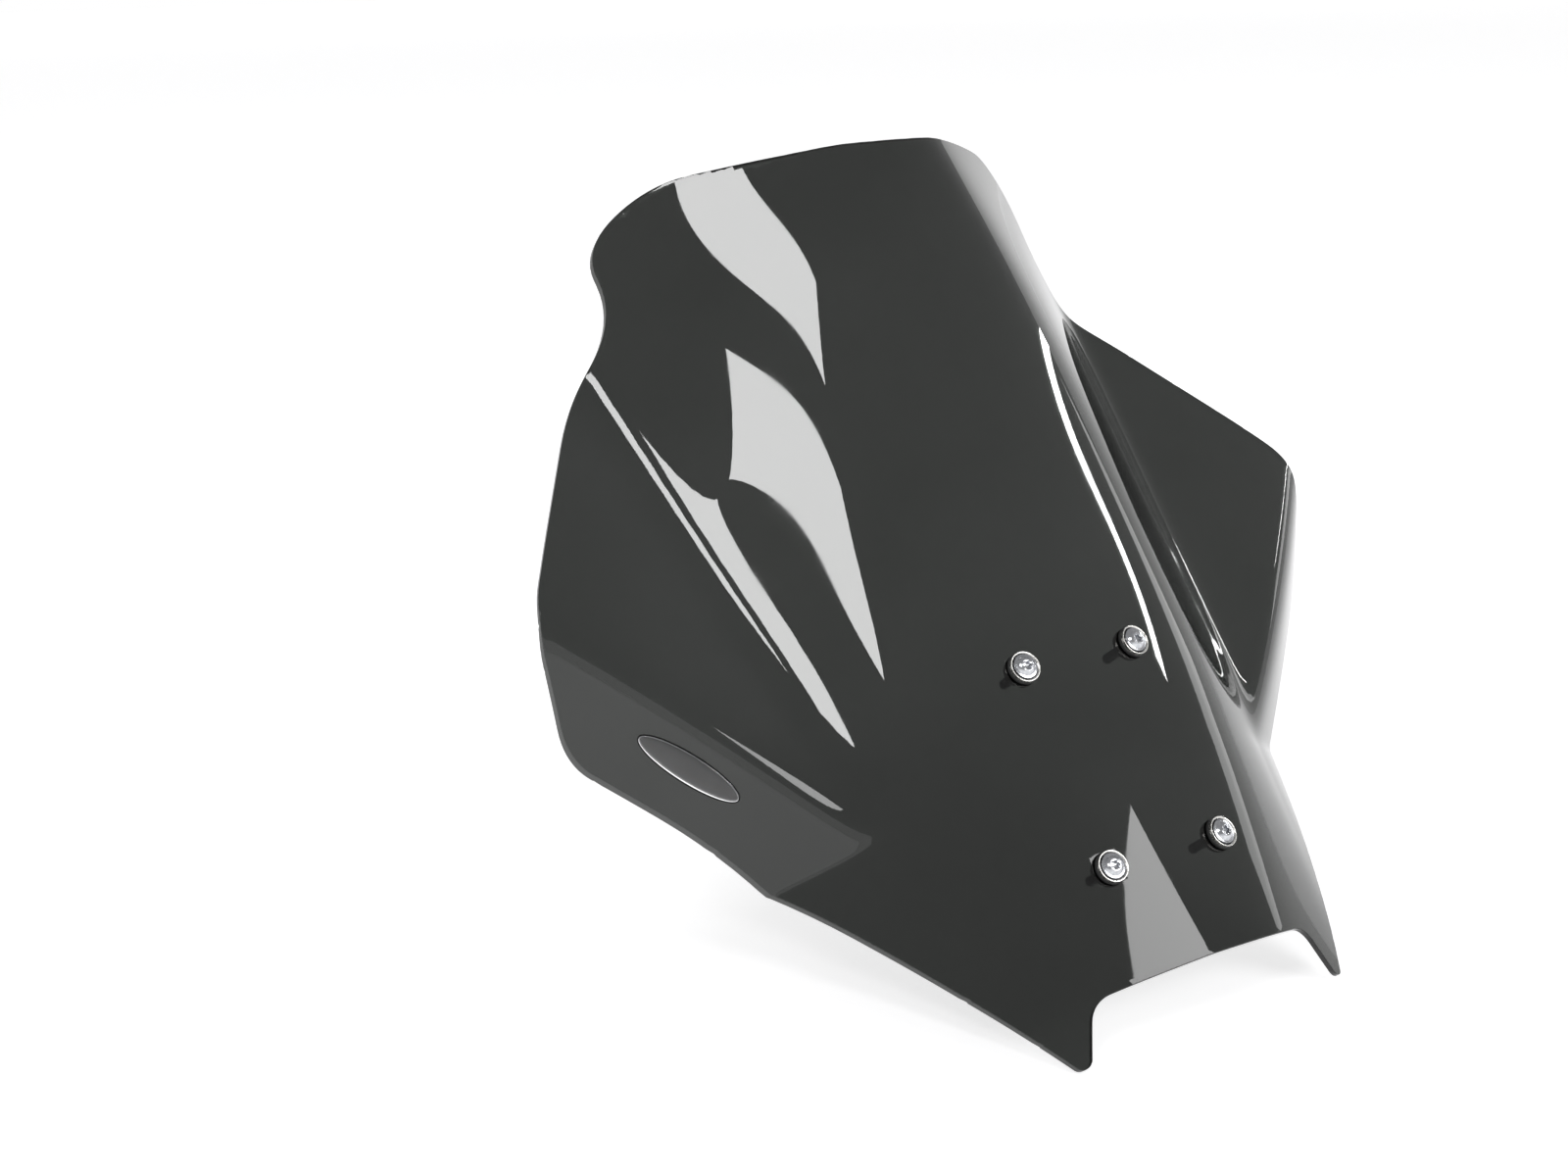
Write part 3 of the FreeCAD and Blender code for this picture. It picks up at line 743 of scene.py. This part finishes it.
# the skirt's lower edge runs between these two corners of the outline
wing_corner, flank = (Vector((-corner[0], corner[1])) for corner, _ in HALF_OUTLINE[7:9])
edge_line = (wing_corner - flank).normalized()
middle = flank + edge_line * BADGE_ALONG + Vector((edge_line.y, -edge_line.x)) * BADGE_INSET
heading = Matrix.Rotation(math.atan2(edge_line.y, edge_line.x), 4, "Z")
badge_seat = panel_seat(middle.x, middle.y) @ heading


def lay(point, out):
    """Point of the outer face straight behind (x, y) of the badge's plane, moved out from it."""
    normal = badge_seat.col[2].xyz
    place = badge_seat @ Vector((point.x, point.y, 0))
    for _ in range(LAY_PASSES):
        place += normal * ((form_height(place.x, place.y) - place.z) * normal.z)
    return place + normal * out


foil, tree, shader = new_material("badge_foil")
printed = tree.nodes.new("ShaderNodeAttribute")
printed.attribute_name = "printed"
black = tree.nodes.new("ShaderNodeMix")
black.data_type = "RGBA"
black.inputs["A"].default_value = FOIL_TONES[0]
black.inputs["B"].default_value = FOIL_TONES[1]
vary(tree, black.inputs["Factor"], 600, 0, 1)
silver = tree.nodes.new("ShaderNodeMix")
silver.data_type = "RGBA"
silver.inputs["B"].default_value = BORDER_TONE
tree.links.new(printed.outputs["Fac"], silver.inputs["Factor"])
tree.links.new(black.outputs["Result"], silver.inputs["A"])
tree.links.new(silver.outputs["Result"], shader.inputs["Base Color"])
vary(tree, shader.inputs["Roughness"], 900, 0.45, 0.6)
shader.inputs["Specular IOR Level"].default_value = 0.08

bm = bmesh.new()
bmesh.ops.create_circle(bm, cap_ends=True, segments=OVAL_STEPS, radius=1)
bmesh.ops.scale(bm, vec=(BADGE_HALF_LONG, BADGE_HALF_WIDE, 1), verts=bm.verts)
border = bm.faces.layers.float.new("printed")
oval = bm.faces[:][0]
for width, ink in ((BORDER_MARGIN, 0), (BORDER_WIDTH, 1)):
    rings = bmesh.ops.inset_individual(bm, faces=[oval], thickness=width, use_even_offset=True)
    for face in rings["faces"]:
        if face is not oval:
            face[border] = ink
for share in INNER_RINGS:
    bmesh.ops.inset_individual(bm, faces=[oval], thickness=HAIR)
    bmesh.ops.scale(bm, vec=(share, share, 1), verts=oval.verts)
bmesh.ops.poke(bm, faces=[oval])
for vert in bm.verts:
    vert.co = lay(vert.co, FOIL)
bmesh.ops.solidify(bm, geom=bm.faces[:], thickness=FOIL)
bmesh.ops.recalc_face_normals(bm, faces=bm.faces)
bmesh.ops.transform(bm, matrix=LEAN, verts=bm.verts)
badge = new_object("badge_printed_foil", bm, foil)
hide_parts("badge_backing")
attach(badge, "root")

# ---------------------------------------------------------------------------- badge dome
# Clear polyurethane resin poured over the foil: it stops just short of the foil's edge and stands
# up in a glossy dome.

DOME_INSET = 0.0005
DOME = 0.0013
DOME_RINGS = 32
RESIN_TONES = ((0.94, 0.94, 0.94), (0.98, 0.98, 0.98))

resin, tree, shader = new_material("badge_resin")
tint(tree, shader, 120, *RESIN_TONES)
vary(tree, shader.inputs["Roughness"], 200, 0.0, 0.04)
shader.inputs["IOR"].default_value = 1.48
shader.inputs["Transmission Weight"].default_value = 1.0

bm = bmesh.new()
bmesh.ops.create_uvsphere(bm, u_segments=OVAL_STEPS, v_segments=DOME_RINGS, radius=1)
for vert in bm.verts:
    flat = Vector((vert.co.x * (BADGE_HALF_LONG - DOME_INSET),
                   vert.co.y * (BADGE_HALF_WIDE - DOME_INSET)))
    vert.co = lay(flat, FOIL + DOME * max(vert.co.z, 0))
bmesh.ops.recalc_face_normals(bm, faces=bm.faces)
bmesh.ops.transform(bm, matrix=LEAN, verts=bm.verts)
dome = new_object("badge_resin_dome", bm, resin)
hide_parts("badge_dome")
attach(dome, "root")
